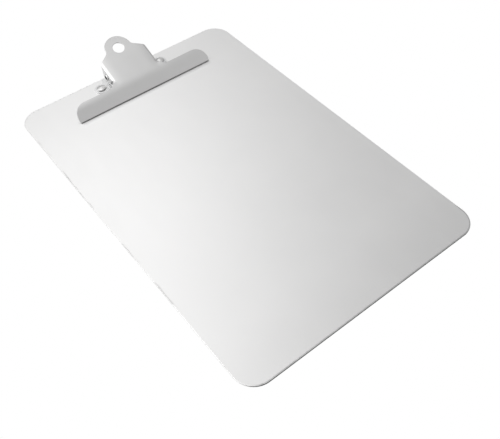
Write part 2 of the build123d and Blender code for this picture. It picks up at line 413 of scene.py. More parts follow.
def encloses(outline, point):
    """True if a closed outline goes round the point."""
    after = np.roll(outline, -1, axis=0)
    spans = (outline[:, 1] > point.y) != (after[:, 1] > point.y)
    here, there = outline[spans], after[spans]
    share = (point.y - here[:, 1]) / (there[:, 1] - here[:, 1])
    return bool(np.sum(here[:, 0] + share * (there[:, 0] - here[:, 0]) > point.x) % 2)


def on_cut(edge, cuts):
    """True if an edge lies along one of the cut lines."""
    a, b = edge.verts[0].co, edge.verts[1].co
    for axis, places in enumerate(cuts):
        if abs(a[axis] - b[axis]) < SNAP and any(abs(a[axis] - p) < SNAP for p in places):
            return True
    return False


def surface_frame(surface, place):
    """Point, unit tangents and normal of a surface function at a place on the blank."""
    x, y = place
    point = np.array(surface(x, y))
    ahead = np.array(surface(x + NUDGE, y)) - np.array(surface(x - NUDGE, y))
    up = np.array(surface(x, y + NUDGE)) - np.array(surface(x, y - NUDGE))
    normal = np.cross(ahead, up)
    return point, unit(ahead), unit(up), unit(normal)


def unit(vector):
    return vector / np.linalg.norm(vector)


def edge_profile(thickness, rounding):
    """Section of a sheet's edge: (reach from the rounding's start, depth, turn of the normal)."""
    turns = np.linspace(0, math.pi / 2, ROUND_STEPS + 1)
    upper = [(rounding * math.sin(t), rounding * (1 - math.cos(t)), t) for t in turns]
    lower = [(reach, thickness - depth, math.pi - t) for reach, depth, t in reversed(upper)]
    return upper + lower


def sheet_piece(outlines, surface, thickness, rounding, band, cuts, profiles=None):
    """Solid of a bent sheet. outlines: outer loop anticlockwise, then holes clockwise.

    The layer "rim" is 1 on the sheet's edge and 0 one band width inside it.
    """
    inset = rounding + band
    loops = [Loop(points, inset, cuts) for points in outlines]
    plain = edge_profile(thickness, rounding)
    sections = [(profiles or {}).get(i, plain) for i in range(len(loops))]
    bm = bmesh.new()
    normal_layer = bm.verts.layers.float_vector.new("surface_normal")
    rim_layer = bm.verts.layers.float.new("rim")

    def add(place, depth, turn, way, rim):
        point, across, along, normal = surface_frame(surface, place)
        vert = bm.verts.new(point - depth * normal)
        out = across * way[0] + along * way[1]
        if turn > 0 and way.any():
            out = unit(out)
        vert[normal_layer] = math.sin(turn) * out + math.cos(turn) * normal
        vert[rim_layer] = rim
        return vert

    for loop, section in zip(loops, sections):
        rings = []
        steps = [(0, 0, 0, 0)]
        steps += [(band + reach, depth, turn, 1) for reach, depth, turn in section]
        steps += [(section[-1][0], thickness, math.pi, 0)]
        for reach, depth, turn, rim in steps:
            places = loop.inner + loop.way * reach
            rings.append([add(p, depth, turn, w, rim) for p, w in zip(places, loop.way)])
        for near, far in zip(rings, rings[1:]):
            for i in range(len(near)):
                j = (i + 1) % len(near)
                bm.faces.new((near[i], far[i], far[j], near[j]))

    still = np.zeros(2)
    for side, turn in ((0, 0), (1, math.pi)):
        shift = [section[-1][0] if side else 0 for section in sections]
        places, polygons = flat_cells(loops, shift, cuts)
        depth = thickness * side
        verts = [add(p, depth, turn, still, 0) for p in places]
        for polygon in polygons:
            corners = [verts[i] for i in polygon]
            bm.faces.new(corners[::-1] if side else corners)
    bmesh.ops.remove_doubles(bm, verts=bm.verts, dist=SNAP * 2)
    return bm


def revolved(section, steps, origin, axis_frame):
    """Solid of revolution. section: closed (radius, height) outline, solid on its left."""
    section = np.array(section, float)
    before = section - np.roll(section, 1, axis=0)
    before /= np.linalg.norm(before, axis=1)[:, None]
    tangent = before + np.roll(before, -1, axis=0)
    tangent /= np.linalg.norm(tangent, axis=1)[:, None]
    bm = bmesh.new()
    normal_layer = bm.verts.layers.float_vector.new("surface_normal")
    columns = []
    for k in range(steps):
        turn = 2 * math.pi * k / steps
        radial = axis_frame @ Vector((math.cos(turn), math.sin(turn), 0))
        axial = axis_frame @ Vector((0, 0, 1))
        column = []
        for (radius, height), way in zip(section, tangent):
            if k > 0 and radius < SNAP:
                column.append(columns[0][len(column)])
                continue
            vert = bm.verts.new(origin + radial * radius + axial * height)
            normal = radial * way[1] - axial * way[0]
            if radius < SNAP:
                normal = axial * (1 if height > section[:, 1].mean() else -1)
            vert[normal_layer] = normal
            column.append(vert)
        columns.append(column)
    count = len(section)
    for k in range(steps):
        here, after = columns[k], columns[(k + 1) % steps]
        for i in range(count):
            j = (i + 1) % count
            corners = [here[i], after[i], after[j], here[j]]
            distinct = list(dict.fromkeys(corners))
            if len(distinct) > 2:
                bm.faces.new(distinct)
    return bm


def swept_wire(path, radius, sides):
    """Round wire along a path, with softly rounded ends and a map of its length and turn."""
    path = np.array(path, float)
    tangents = np.gradient(path, axis=0)
    tangents /= np.linalg.norm(tangents, axis=1)[:, None]
    soft = radius * 0.35
    ends = [(0.0, radius - soft), (soft * 0.3, radius - soft * 0.25), (soft, radius)]
    rings = [(path[0] + tangents[0] * gap, 0, r) for gap, r in ends]
    rings += [(path[i], i, radius) for i in range(1, len(path) - 1)]
    rings += [(path[-1] - tangents[-1] * gap, len(path) - 1, r) for gap, r in reversed(ends)]
    bm = bmesh.new()
    normal_layer = bm.verts.layers.float_vector.new("surface_normal")
    uv_layer = bm.loops.layers.uv.new("wire_map")
    side = unit(np.cross(tangents[0], (1.0, 0.0, 0.0)))
    built, lengths, length, last = [], [], 0.0, rings[0][0]
    for centre, i, ring_radius in rings:
        side = unit(side - tangents[i] * (side @ tangents[i]))
        other = np.cross(tangents[i], side)
        length += float(np.linalg.norm(centre - last))
        last = centre
        ring = []
        for k in range(sides):
            turn = 2 * math.pi * k / sides
            out = side * math.cos(turn) + other * math.sin(turn)
            vert = bm.verts.new(centre + out * ring_radius)
            vert[normal_layer] = out
            ring.append(vert)
        built.append(ring)
        lengths.append(length)
    for r in range(len(built) - 1):
        for k in range(sides):
            j = (k + 1) % sides
            face = bm.faces.new((built[r][k], built[r][j], built[r + 1][j], built[r + 1][k]))
            places = ((r, k), (r, k + 1), (r + 1, k + 1), (r + 1, k))
            for loop, (ring, step) in zip(face.loops, places):
                loop[uv_layer].uv = (lengths[ring] * MM, step / sides)
    bm.faces.new(built[0][::-1])
    bm.faces.new(built[-1])
    for ring, way in ((built[0], -tangents[0]), (built[-1], tangents[-1])):
        for vert in ring:
            vert[normal_layer] = Vector(way)
    return bm


# ------------------------------------------------------------------ board


def grid_lines(half):
    """Cut lines on whole grid steps, inside the board's edge."""
    count = math.ceil(half / BOARD_GRID) - 1
    return [i * BOARD_GRID for i in range(-count, count + 1)]


def board_piece(material):
    """Flat sheet with round corners and two rivet holes, countersunk underneath."""
    half_x, half_y = BOARD_HIGH.x, BOARD_HIGH.y
    signs = ((1, -1), (1, 1), (-1, 1), (-1, -1))
    corners = [((x * half_x, y * half_y), BOARD_CORNER_RADIUS) for x, y in signs]
    outlines = [filleted(corners)]
    for side in (-1, 1):
        outlines.append(circle_hole((side * RIVET_X, RIVET_Y), RIVET_HOLE_RADIUS))
    small = HOLE_EDGE_ROUND
    sink = COUNTERSINK_RADIUS - RIVET_HOLE_RADIUS
    wall = BOARD_TOP - COUNTERSINK_DEPTH
    cone = math.pi - math.atan2(COUNTERSINK_DEPTH, sink)
    full = BOARD_EDGE_ROUND
    hole = [
        (full - small, 0, 0),
        (full, small, math.pi / 2),
        (full, wall - small, math.pi / 2),
        (full - small * sink / COUNTERSINK_DEPTH, wall + small, cone),
        (full - sink + small, BOARD_TOP - small, cone),
        (full - sink - small, BOARD_TOP, math.pi),
    ]
    clear = COUNTERSINK_RADIUS + COUNTERSINK_CLEARANCE
    columns = [x for x in grid_lines(half_x) if abs(abs(x) - RIVET_X) > clear]
    rows = [y for y in grid_lines(half_y) if abs(y - RIVET_Y) > clear]
    bm = sheet_piece(
        outlines,
        lambda x, y: (x, y, BOARD_TOP),
        BOARD_TOP,
        BOARD_EDGE_ROUND,
        BOARD_RIM_BAND,
        (columns, rows),
        {1: hole, 2: hole},
    )
    return finish_piece(bm, "board_sheet", material, "board")


# ------------------------------------------------------------------ jaw lever

WIND = APRON_TILT - HANDLE_TILT
BEND_ALONG = -BEND_RADIUS * math.sin(WIND)
JAW_ALONG = BEND_ALONG - APRON_LENGTH * math.cos(WIND)
APRON_START = np.array([JAW_LOW.y, JAW_LOW.z + math.cos(APRON_TILT) * SHEET])
APRON_END = APRON_START + APRON_LENGTH * direction(APRON_TILT)
BEND_CENTRE = APRON_END - BEND_RADIUS * direction(APRON_TILT + math.pi / 2)
HANDLE_START = BEND_CENTRE + BEND_RADIUS * direction(HANDLE_TILT + math.pi / 2)
FLANGE_FLAT_X = HANDLE_HALF_WIDTH - FLANGE_BEND_RADIUS
BEND_TURN = math.pi / 2 - CROWN_TILT
BEND_ROUND = FLANGE_BEND_RADIUS / (1 - math.sin(CROWN_TILT))
BEND_ARC = BEND_ROUND * BEND_TURN
CROWN_DROP = math.tan(CROWN_TILT) * (FLANGE_FLAT_X - CROWN_START_X) / 2
BEND_DROP = CROWN_DROP + BEND_ROUND * math.cos(CROWN_TILT)
HINGE_ALONG, HINGE_RISE = (
    float((np.array([HINGE.y, HINGE.z]) - HANDLE_START) @ direction(HANDLE_TILT + turn))
    for turn in (0, math.pi / 2)
)
HINGE_ON_BLANK = (FLANGE_FLAT_X + BEND_ARC - HINGE_RISE - BEND_DROP, HINGE_ALONG)


def lever_section(along):
    """Side view of the lever's upper surface: (y, z) and the tilt there."""
    if along > TAB_CURL_START:
        share = (along - TAB_CURL_START) / (HANDLE_LENGTH - TAB_CURL_START)
        lift = math.tan(TAB_CURL_TILT) * share * (along - TAB_CURL_START) / 2
        flat = HANDLE_START + along * direction(HANDLE_TILT)
        return flat + lift * direction(HANDLE_TILT + math.pi / 2), HANDLE_TILT
    if along >= 0:
        return HANDLE_START + along * direction(HANDLE_TILT), HANDLE_TILT
    if along >= BEND_ALONG:
        tilt = HANDLE_TILT + math.asin(-along / BEND_RADIUS)
        return BEND_CENTRE + BEND_RADIUS * direction(tilt + math.pi / 2), tilt
    down = (BEND_ALONG - along) / math.cos(WIND)
    return APRON_END - down * direction(APRON_TILT), APRON_TILT


def smooth_step(value, start, end):
    """Smooth change from 0 to 1 as the value goes from start to end."""
    share = min(1.0, max(0.0, (value - start) / (end - start)))
    return share * share * (3 - 2 * share)


def lever_surface(x, along):
    """Upper surface of the lever from its blank: the handle crowns, its sides fold down."""
    point, tilt = lever_section(along)
    aside = abs(x)
    reach = aside
    crowned = smooth_step(along, BEND_FADE_START - CROWN_FADE, BEND_FADE_END)
    on_wing = smooth_step(aside, FLANGE_FLAT_X, FLANGE_FLAT_X + CROWN_FADE) * (1 - folded(along))
    slope = crowned * math.tan(CROWN_TILT) / (FLANGE_FLAT_X - CROWN_START_X)
    slope *= 1 - on_wing
    drop = slope * max(0.0, min(aside, FLANGE_FLAT_X) - CROWN_START_X) ** 2 / 2
    over = aside - FLANGE_FLAT_X
    fold = folded(along) * BEND_TURN
    if over > 0 and fold > SNAP:
        start = crowned * CROWN_TILT
        radius = BEND_ARC / fold
        turn = start + fold * min(over, BEND_ARC) / BEND_ARC
        rest = max(0.0, over - BEND_ARC)
        reach = FLANGE_FLAT_X + radius * (math.sin(turn) - math.sin(start))
        reach += rest * math.cos(turn)
        drop += radius * (math.cos(start) - math.cos(turn)) + rest * math.sin(turn)
    y, z = point - drop * direction(tilt + math.pi / 2)
    return math.copysign(reach, x), y, z


def folded(along):
    """How far the side bend has formed here: 0 on the wing, 1 along the handle."""
    return smooth_step(along, BEND_FADE_START, BEND_FADE_END)


def lever_outline():
    """Right half of the lever's blank: wing, flange with its round lobe, shoulder, tab."""
    lobe = np.array(HINGE_ON_BLANK)
    to_lobe = lobe - np.array(NOTCH_INNER)
    front_turn = math.atan2(to_lobe[1], to_lobe[0]) - math.pi / 2
    front_turn -= math.asin(FLANGE_LOBE_RADIUS / np.linalg.norm(to_lobe))
    rear_turn = math.pi / 2 - HANDLE_TILT
    front_touch = lobe + FLANGE_LOBE_RADIUS * direction(front_turn)
    rear_out = direction(rear_turn)
    rear_touch = lobe + FLANGE_LOBE_RADIUS * rear_out

    slope = math.tan(SHOULDER_SLOPE)
    rear_slope = math.tan(HANDLE_TILT)
    at_handle = SHOULDER_ALONG - rear_touch[1] + slope * HANDLE_HALF_WIDTH
    corner_x = (at_handle - rear_slope * rear_touch[0]) / (slope - rear_slope)
    corner = (corner_x, rear_touch[1] + (rear_touch[0] - corner_x) * rear_slope)

    tab_centre = np.array([0, HANDLE_LENGTH - TAB_RADIUS])
    line_way = np.array([-math.cos(SHOULDER_SLOPE), math.sin(SHOULDER_SLOPE)])
    line_out = np.array([math.sin(SHOULDER_SLOPE), math.cos(SHOULDER_SLOPE)])
    start = np.array([HANDLE_HALF_WIDTH, SHOULDER_ALONG]) + NECK_FILLET * line_out - tab_centre
    half_b = float(start @ line_way)
    reach = TAB_RADIUS + NECK_FILLET
    travel = -half_b - math.sqrt(half_b**2 - start @ start + reach**2)
    neck_centre = tab_centre + start + travel * line_way
    to_tab = unit(tab_centre - neck_centre)
    neck_start = math.atan2(-line_out[1], -line_out[0])
    neck_end = math.atan2(to_tab[1], to_tab[0])
    neck_end -= 2 * math.pi * (neck_end > neck_start)
    tab_start = math.atan2(-to_tab[1], -to_tab[0])

    tip_cut = WING_FRONT_CORNER_ALONG - JAW_ALONG
    tip_x = WING_HALF_WIDTH - WING_FRONT_CORNER
    tip_x += math.sqrt(WING_FRONT_CORNER**2 - tip_cut**2)
    wing = filleted(
        [
            ((0, JAW_ALONG), 0),
            ((tip_x, JAW_ALONG), WING_TIP_ROUND),
            ((WING_HALF_WIDTH, WING_FRONT_CORNER_ALONG), WING_FRONT_CORNER),
            ((WING_HALF_WIDTH, WING_BACK_ALONG), WING_BACK_CORNER),
            ((NOTCH_OUTER_X, WING_BACK_ALONG), NOTCH_OUTER_ROUND),
            (NOTCH_INNER, NOTCH_INNER_ROUND),
            (tuple(front_touch), 0),
        ],
        closed=False,
    )
    flange = arc(lobe, FLANGE_LOBE_RADIUS, front_turn, rear_turn)
    neck_touch = neck_centre - NECK_FILLET * line_out
    shoulder = fillet_corner(rear_touch, corner, neck_touch, SHOULDER_ROUND)
    neck = arc(neck_centre, NECK_FILLET, neck_start, neck_end)
    tab = arc(tab_centre, TAB_RADIUS, tab_start, math.pi / 2)
    return wing[:-1] + flange + shoulder + neck + tab[1:]


def jaw_piece(material):
    """Pressed lever in one sheet: jaw edge, apron, wing, flanges, shoulders and tab."""
    tab_along = HANDLE_LENGTH - TAB_RADIUS
    outlines = [mirrored(lever_outline()), circle_hole((0, tab_along), HANG_HOLE_RADIUS)]
    for side in (-1, 1):
        place = (side * HINGE_ON_BLANK[0], HINGE_ON_BLANK[1])
        outlines.append(circle_hole(place, PIN_HOLE_RADIUS))
    middle = [step * WING_STEP for step in range(-3, 4)]
    crown = both_sides(np.arange(CROWN_START_X, FLANGE_FLAT_X - 1.0, CROWN_STEP))
    wing = both_sides(np.arange(28.0, WING_HALF_WIDTH - 2.0, WING_STEP))
    folds = both_sides(np.linspace(FLANGE_FLAT_X, FLANGE_FLAT_X + BEND_ARC, FOLD_CUTS))
    apron = list(np.linspace(JAW_ALONG + 2.4, BEND_ALONG, APRON_CUTS))
    bend = list(np.arange(BEND_ALONG + BEND_STEP, BEND_FADE_START - 0.4, BEND_STEP))
    fade = list(np.linspace(BEND_FADE_START, BEND_FADE_END, FADE_CUTS))
    handle = list(np.arange(BEND_FADE_END + 2.0, HANDLE_LENGTH - 2.5, HANDLE_STEP))
    cuts = (middle + crown + wing + folds, apron + bend + fade + handle)
    bm = sheet_piece(outlines, lever_surface, SHEET, SHEET_EDGE_ROUND, SHEET_RIM_BAND, cuts)
    return finish_piece(bm, "jaw_pressing", material, "jaw_lever")


# ------------------------------------------------------------------ base plate

EAR_LINE_X = EAR_OUTER_X + EAR_BEND_RADIUS
EAR_ARC = EAR_BEND_RADIUS * math.pi / 2
EAR_PIN_X = EAR_LINE_X - EAR_ARC - (HINGE.z - PLATE_TOP - EAR_BEND_RADIUS)


def base_surface(x, y):
    """Top of the base plate from its blank: the tongues in the windows fold up into ears."""
    over = EAR_LINE_X - abs(x)
    beside = abs(y - HINGE.y) > EAR_RADIUS + WINDOW_SIDE_RELIEF / 2
    if over <= 0 or beside or abs(x) < WINDOW_INNER + WINDOW_EDGE_MARGIN:
        return x, y, PLATE_TOP
    turn = min(over, EAR_ARC) / EAR_BEND_RADIUS
    rest = max(0.0, over - EAR_ARC)
    reach = EAR_BEND_RADIUS * math.sin(turn)
    rise = EAR_BEND_RADIUS * (1 - math.cos(turn)) + rest
    return math.copysign(EAR_LINE_X - reach, x), y, PLATE_TOP + rise


def base_outline():
    """Right half of the plate's outline: rear edge, lug round the rivet, front edge."""
    block = [
        ((0, BASE_LOW.y), 0),
        ((PLATE_HALF_WIDTH, BASE_LOW.y), PLATE_CORNER),
        ((PLATE_HALF_WIDTH, RIVET_Y - LUG_RADIUS), LUG_FILLET),
        ((RIVET_X, RIVET_Y - LUG_RADIUS), 0),
    ]
    lug = arc((RIVET_X, RIVET_Y), LUG_RADIUS, -math.pi / 2, math.pi / 2)
    back = [
        ((RIVET_X, RIVET_Y + LUG_RADIUS), 0),
        ((PLATE_HALF_WIDTH, RIVET_Y + LUG_RADIUS), LUG_FILLET),
        ((PLATE_HALF_WIDTH, BASE_HIGH.y), PLATE_CORNER),
        ((0, BASE_HIGH.y), 0),
    ]
    return filleted(block, closed=False)[:-1] + lug + filleted(back, closed=False)[1:]


def window_outline(side):
    """Clockwise loop round one window and the tongue that becomes its ear."""
    relief = EAR_RADIUS + WINDOW_SIDE_RELIEF
    y = HINGE.y
    tongue = arc((EAR_PIN_X, y), EAR_RADIUS, -3 * math.pi / 2, -math.pi / 2)
    end = EAR_LINE_X + WINDOW_END_RELIEF
    ring = [
        ((end, y - EAR_RADIUS), WINDOW_RELIEF_ROUND),
        ((end, y - relief), WINDOW_RELIEF_ROUND),
        ((WINDOW_INNER, y - relief), WINDOW_INNER_ROUND),
        ((WINDOW_INNER, y + relief), WINDOW_INNER_ROUND),
        ((end, y + relief), WINDOW_RELIEF_ROUND),
        ((end, y + EAR_RADIUS), WINDOW_RELIEF_ROUND),
    ]
    outline = []
    points = [p for p, _ in ring]
    for i, (point, radius) in enumerate(ring):
        before = points[i - 1] if i else (EAR_PIN_X, y - EAR_RADIUS)
        after = points[i + 1] if i + 1 < len(ring) else (EAR_PIN_X, y + EAR_RADIUS)
        outline += fillet_corner(before, point, after, radius)
    outline += tongue
    if side < 0:
        return [np.array([-p[0], p[1]]) for p in reversed(outline)]
    return outline


def base_piece(material):
    """Plate under the lever with two folded-up hinge ears and a lug for each rivet."""
    outlines = [mirrored(base_outline())]
    for side in (-1, 1):
        outlines.append(window_outline(side))
        outlines.append(circle_hole((side * EAR_PIN_X, HINGE.y), PIN_HOLE_RADIUS))
        outlines.append(circle_hole((side * RIVET_X, RIVET_Y), RIVET_HOLE_RADIUS))
    bend = np.linspace(EAR_LINE_X - EAR_ARC, EAR_LINE_X, EAR_BEND_CUTS)
    plain = [4.0, 8.4, 12.0, 15.0, 18.0, 21.0, 30.0, 34.0]
    columns = [0.0] + both_sides([*plain, *bend])
    rows = list(np.arange(BASE_LOW.y + PLATE_STEP, BASE_HIGH.y - 2.0, PLATE_STEP))
    cuts = (columns, rows)
    bm = sheet_piece(outlines, base_surface, SHEET, PLATE_EDGE_ROUND, PLATE_RIM_BAND, cuts)
    return finish_piece(bm, "base_pressing", material, "clip_base")


# ------------------------------------------------------------------ pin, rivets, springs


def pin_piece(material):
    """Tubular pin, each end rolled outwards into a rounded lip with a flared mouth."""
    lip = PIN_LIP_RADIUS
    lip_start = PIN_END_X - PIN_LIP_HEIGHT
    flare_start = PIN_END_X - PIN_FLARE_DEPTH
    right = [
        ((PIN_RADIUS, 0), 0),
        ((PIN_RADIUS, lip_start), 0.12),
        ((lip, lip_start), 0.15),
        ((lip, lip_start + 0.3), 0.3),
        ((PIN_MOUTH_RADIUS + 0.15, PIN_END_X), 0.25),
        ((PIN_MOUTH_RADIUS - 0.15, PIN_END_X), 0.2),
        ((PIN_BORE_RADIUS, flare_start), 0.8),
        ((PIN_BORE_RADIUS, 0), 0),
    ]
    half_section = filleted(right, closed=False)
    lower = [np.array([r, -h]) for r, h in reversed(half_section)]
    section = half_section + lower[1:-1]
    turn_to_x = Matrix(((0, 0, 1), (1, 0, 0), (0, 1, 0)))
    bm = revolved(section, TURNED_STEPS, Vector((0, HINGE.y, HINGE.z)), turn_to_x)
    return finish_piece(bm, "pivot_pin", material, "hinge_pin")


def rivet_piece(name, node, side, material):
    """Domed rivet with a soft rim, its tail set flush under the board."""
    head_top = RIVET_HIGH.z - PLATE_TOP
    rise = head_top - RIVET_HEAD_RIM
    dome = (RIVET_HEAD_RADIUS**2 + rise**2) / (2 * rise)
    spread = math.asin(RIVET_HEAD_RADIUS / dome)
    angles = np.linspace(spread * RIVET_DOME_SPREAD, 0, DOME_STEPS)
    top = [(dome * math.sin(a), head_top - dome + dome * math.cos(a)) for a in angles]
    tail = COUNTERSINK_DEPTH - PLATE_TOP
    lower = filleted(
        [
            ((0, -PLATE_TOP), 0),
            ((RIVET_TAIL_RADIUS, -PLATE_TOP), 0.1),
            ((RIVET_SHANK_RADIUS, tail), 0.1),
            ((RIVET_SHANK_RADIUS, 0), 0.05),
            ((RIVET_HEAD_RADIUS, 0), 0.12),
            ((RIVET_HEAD_RADIUS, RIVET_HEAD_RIM + 0.05), 0.12),
            (top[0], 0),
        ],
        closed=False,
    )
    section = lower + [np.array(p) for p in top[1:]]
    place = Vector((side * RIVET_X, RIVET_Y, PLATE_TOP))
    bm = revolved(section, TURNED_STEPS, place, Matrix.Identity(3))
    return finish_piece(bm, name, material, node)


def spring_path():
    """Centre line of the +X spring: lower leg, coil round the pin, upper leg."""
    leg_end = np.array([
        BOARD_HIGH.y - LOWER_LEG_END_SETBACK - HINGE.y,
        PLATE_TOP + WIRE_RADIUS + SPRING_SEAT_GAP - HINGE.z,
    ])
    leg_reach = np.linalg.norm(leg_end)
    lower_length = math.sqrt(leg_reach**2 - COIL_RADIUS**2)
    start = math.atan2(leg_end[1], leg_end[0]) - math.acos(COIL_RADIUS / leg_reach)
    seat = -HINGE_RISE - SHEET - SPRING_SEAT_GAP
    outside = COIL_RADIUS + WIRE_RADIUS
    lean = math.asin(seat / math.hypot(outside, UPPER_LEG_LENGTH))
    lean -= math.atan2(outside, UPPER_LEG_LENGTH)
    end = HANDLE_TILT + lean + math.pi / 2 - 2 * math.pi * COIL_WHOLE_TURNS
    slope = COIL_PITCH / (2 * math.pi)
    tilt_in = math.hypot(COIL_RADIUS, slope)

    def on_coil(turn):
        y, z = COIL_RADIUS * direction(turn)
        return np.array([COIL_START_X + (start - turn) * slope, HINGE.y + y, HINGE.z + z])

    def heading(turn):
        along = (slope, COIL_RADIUS * math.sin(turn), -COIL_RADIUS * math.cos(turn))
        return np.array(along) / tilt_in

    count = int((start - end) / (2 * math.pi) * COIL_STEPS)
    lower_steps = np.linspace(lower_length, 0, LEG_STEPS)[:-1]
    upper_steps = np.linspace(0, UPPER_LEG_LENGTH, LEG_STEPS)[1:]
    coil = [on_coil(t) for t in np.linspace(start, end, count)]
    lower = [coil[0] - heading(start) * d for d in lower_steps]
    upper = [coil[-1] + heading(end) * d for d in upper_steps]
    return np.array(lower + coil + upper)


def spring_piece(name, node, side, material):
    """Torsion spring: lower leg on the plate, coil round the pin, upper leg under the lever."""
    path = spring_path()
    path[:, 0] *= side
    bm = swept_wire(path, WIRE_RADIUS, WIRE_SIDES)
    piece = finish_piece(bm, name, material, node)
    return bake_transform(piece)


# ------------------------------------------------------------------ material nodes


class Graph:
    """Small helper for building a node tree."""

    def __init__(self, owner):
        self.owner = owner
        owner.use_nodes = True
        self.tree = owner.node_tree
        self.tree.nodes.clear()

    def add(self, kind, inputs=None, **settings):
        """Add a node; inputs gives socket names or numbers a value or another socket."""
        made = self.tree.nodes.new(kind)
        for key, value in settings.items():
            setattr(made, key, value)
        for key, value in (inputs or {}).items():
            if isinstance(value, bpy.types.NodeSocket):
                self.tree.links.new(value, made.inputs[key])
            else:
                made.inputs[key].default_value = value
        return made

    def math(self, operation, a, b=0.0):
        return self.add("ShaderNodeMath", {0: a, 1: b}, operation=operation).outputs[0]

    def scaled(self, value, by, plus=0.0):
        inputs = {0: value, 1: by, 2: plus}
        return self.add("ShaderNodeMath", inputs, operation="MULTIPLY_ADD").outputs[0]

    def product(self, *values):
        result = values[0]
        for value in values[1:]:
            result = self.math("MULTIPLY", result, value)
        return result

    def distance(self, a, b):
        """Length of a step with the two given sides."""
        squares = self.math("ADD", self.math("MULTIPLY", a, a), self.math("MULTIPLY", b, b))
        return self.math("SQRT", squares)

    def rim(self):
        """1 on the edge of a sheet, falling to 0 one band inside it."""
        return self.add("ShaderNodeAttribute", None, attribute_name="rim").outputs["Fac"]

    def place_axes(self):
        """Object coordinates in millimetres, as three separate values."""
        return self.add("ShaderNodeSeparateXYZ", {0: self.place()}).outputs

    def ramp(self, value, low, high, to_low=0.0, to_high=1.0):
        """Smooth change from to_low to to_high as the value goes from low to high."""
        inputs = {0: value, 1: low, 2: high, 3: to_low, 4: to_high}
        made = self.add("ShaderNodeMapRange", inputs, interpolation_type="SMOOTHSTEP")
        return made.outputs[0]

    def span(self, value, origin, reach, to_low=0.0, to_high=1.0):
        """Like ramp, between two distances from an origin."""
        return self.ramp(value, origin + reach[0], origin + reach[1], to_low, to_high)

    def place(self, scale=(1, 1, 1), shift=(0, 0, 0)):
        """Object coordinates, in millimetres, stretched by scale."""
        coordinates = self.add("ShaderNodeTexCoord").outputs["Object"]
        stretch = tuple(s / MM for s in scale)
        inputs = {"Vector": coordinates, "Scale": stretch, "Location": shift}
        return self.add("ShaderNodeMapping", inputs).outputs[0]

    def noise(self, vector, scale, detail=3.0, rough=0.5):
        inputs = {"Vector": vector, "Scale": scale, "Detail": detail, "Roughness": rough}
        return self.add("ShaderNodeTexNoise", inputs).outputs[0]

    def mix(self, share, a, b):
        """Colour a where the share is 0, and b where it is 1."""
        inputs = {"Factor": share, 6: a, 7: b}
        return self.add("ShaderNodeMix", inputs, data_type="RGBA").outputs[2]

    def bump(self, height, depth, strength=1.0, normal=None):
        inputs = {"Height": height, "Distance": depth * MM, "Strength": strength}
        if normal is not None:
            inputs["Normal"] = normal
        return self.add("ShaderNodeBump", inputs).outputs[0]

    def metal(self, colour, roughness, normal, metallic=1.0):
        inputs = {"Base Color": colour, "Metallic": metallic, "Roughness": roughness}
        inputs["Normal"] = normal
        shader = self.add("ShaderNodeBsdfPrincipled", inputs).outputs[0]
        self.add("ShaderNodeOutputMaterial", {"Surface": shader})
        return self.owner


def grey(value, warm=0.0):
    return (value * (1 + warm), value, value * (1 - warm), 1.0)


def front_edge_shade_mask(g, axes, rim):
    """1 where shade is painted: on the cut edge along the front and round its right corner, the
    side turned from the light; else 0.
    """
    aside = g.math("SUBTRACT", g.scaled(axes["X"], SHADED_EDGE_SLANT), axes["Y"])
    front = g.span(axes["Y"], BOARD_LOW.y, SHADED_EDGE_FRONT, 1.0, 0.0)
    return g.product(front, g.ramp(aside, *SHADED_EDGE_ASIDE), g.ramp(rim, 0.35, 0.75))


def jaw_shadow_band(g, axes):
    """1 on the band of the top face in front of the jaw, where its contact shadow is painted,
    else 0.
    """
    near = g.span(axes["Y"], JAW_LOW.y, JAW_SHADOW_FRONT)
    covered = g.span(axes["Y"], JAW_LOW.y, JAW_SHADOW_UNDER, 1.0, 0.0)
    beside = g.math("ABSOLUTE", axes["X"])
    within = g.span(beside, WING_HALF_WIDTH, JAW_SHADOW_ENDS, 1.0, 0.0)
    on_top = g.span(axes["Z"], BOARD_TOP, TOP_FACE)
    return g.product(near, covered, within, on_top)


